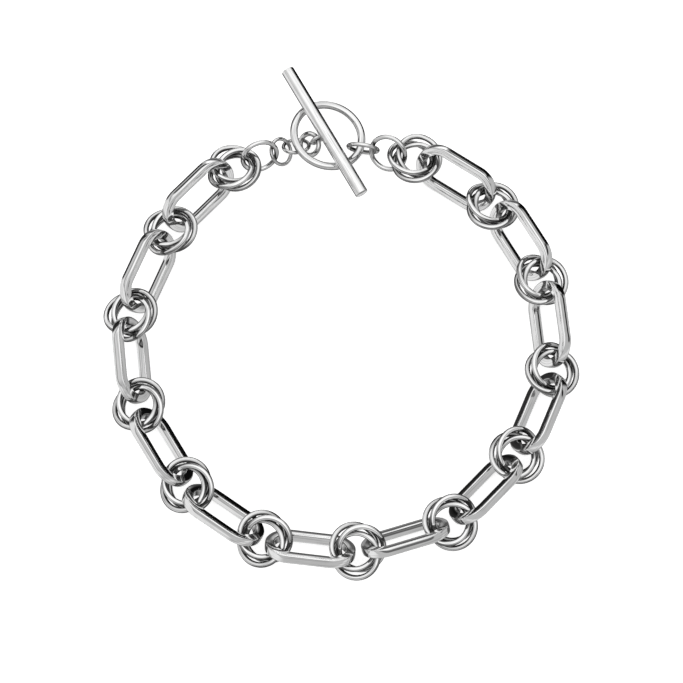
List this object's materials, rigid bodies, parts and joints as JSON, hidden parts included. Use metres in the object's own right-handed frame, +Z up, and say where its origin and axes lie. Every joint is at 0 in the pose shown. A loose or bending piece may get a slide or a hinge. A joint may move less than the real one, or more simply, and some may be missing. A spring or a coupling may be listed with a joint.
{
  "type": "link bracelet with toggle clasp",
  "caption": "Closed chain bracelet of square-wire long links joined by knots of linked rings, fastened with a bar through a ring, lying flat in a loop.",
  "frame": {"origin": "middle of the loop where the wrist goes, at the level of the surface that the bracelet lies on", "axes": "+Z up out of the loop, +Y toward the toggle fastening, +X to the right as seen from above with the fastening at the far side"},
  "size_m": [0.07, 0.0783, 0.007],
  "materials": {
    "link_silver": "polished sterling silver, square wire with softly eased edges",
    "ring_silver": "polished sterling silver round wire",
    "clasp_silver": "polished sterling silver, toggle ring, bar and jump rings"
  },
  "bodies": {
    "root": {"long_link_1": "link_silver", "long_link_2": "link_silver", "long_link_3": "link_silver", "long_link_4": "link_silver", "long_link_5": "link_silver", "long_link_6": "link_silver", "long_link_7": "link_silver", "long_link_8": "link_silver", "long_link_9": "link_silver", "long_link_10": "link_silver", "long_link_11": "link_silver", "long_link_12": "link_silver", "ring_knot_1": "ring_silver", "ring_knot_2": "ring_silver", "ring_knot_3": "ring_silver", "ring_knot_4": "ring_silver", "ring_knot_5": "ring_silver", "ring_knot_6": "ring_silver", "ring_knot_7": "ring_silver", "ring_knot_8": "ring_silver", "ring_knot_9": "ring_silver", "ring_knot_10": "ring_silver", "ring_knot_11": "ring_silver", "ring_knot_12": "ring_silver", "ring_knot_13": "ring_silver", "jump_ring_1": "clasp_silver", "jump_ring_2": "clasp_silver", "jump_ring_3": "clasp_silver", "jump_ring_4": "clasp_silver", "jump_ring_5": "clasp_silver", "jump_ring_6": "clasp_silver", "toggle_ring": "clasp_silver", "toggle_bar": "clasp_silver"}
  },
  "joints": []
}
